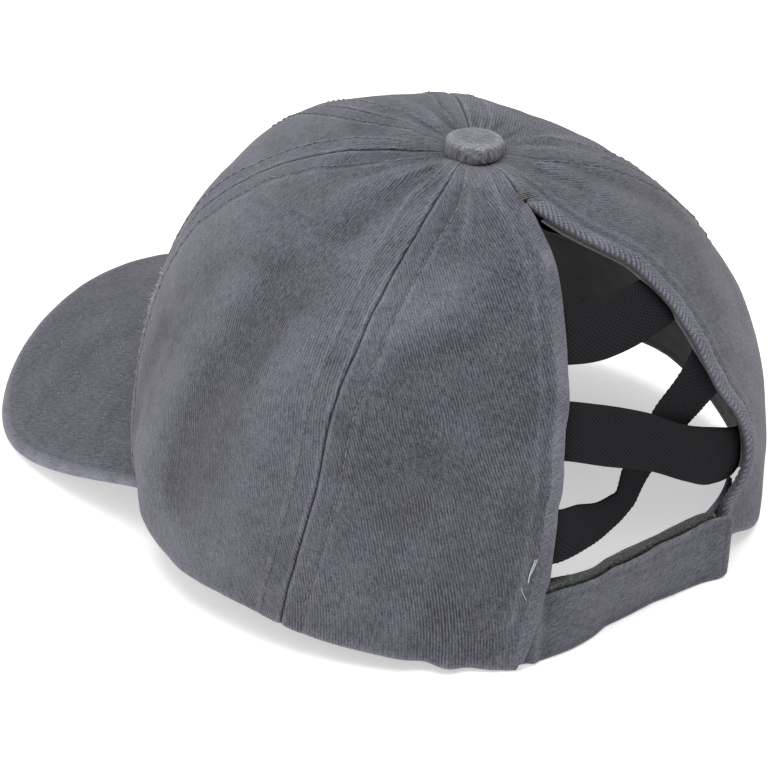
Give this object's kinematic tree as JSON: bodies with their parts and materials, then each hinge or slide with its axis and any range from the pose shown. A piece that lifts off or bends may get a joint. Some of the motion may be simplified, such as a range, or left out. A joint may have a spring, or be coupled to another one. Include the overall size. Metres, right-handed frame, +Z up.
{
  "type": "ponytail baseball cap",
  "caption": "Curved-visor cloth cap with a domed panelled crown, open down the back for a ponytail, crossed elastic bands over the opening and a closed cloth strap below.",
  "frame": {"origin": "middle of the cap's bounding box at the surface that it rests on", "axes": "+Z up, visor towards -Y, ponytail opening towards +Y, wearer's left side towards +X"},
  "size_m": [0.1756, 0.2464, 0.1226],
  "materials": {
    "twill": "washed grey cotton twill, worn lighter on edges and ridges",
    "sweatband": "dark smooth satin weave",
    "tape": "thin grey facing tape",
    "elastic": "dark woven elastic",
    "loop": "fuzzy grey-green loop pile"
  },
  "bodies": {
    "root": {"crown_front_left": "twill", "crown_side_left": "twill", "crown_back_left": "twill", "crown_back_right": "twill", "crown_side_right": "twill", "crown_front_right": "twill", "visor": "twill", "button": "twill", "sweatband": "sweatband", "opening_tape_left": "tape", "opening_tape_right": "tape", "band_top": "elastic", "band_cross_front": "elastic", "band_cross_back": "elastic", "strap_outer": "twill", "loop_tape": "loop", "strap_inner": "twill"}
  },
  "joints": []
}
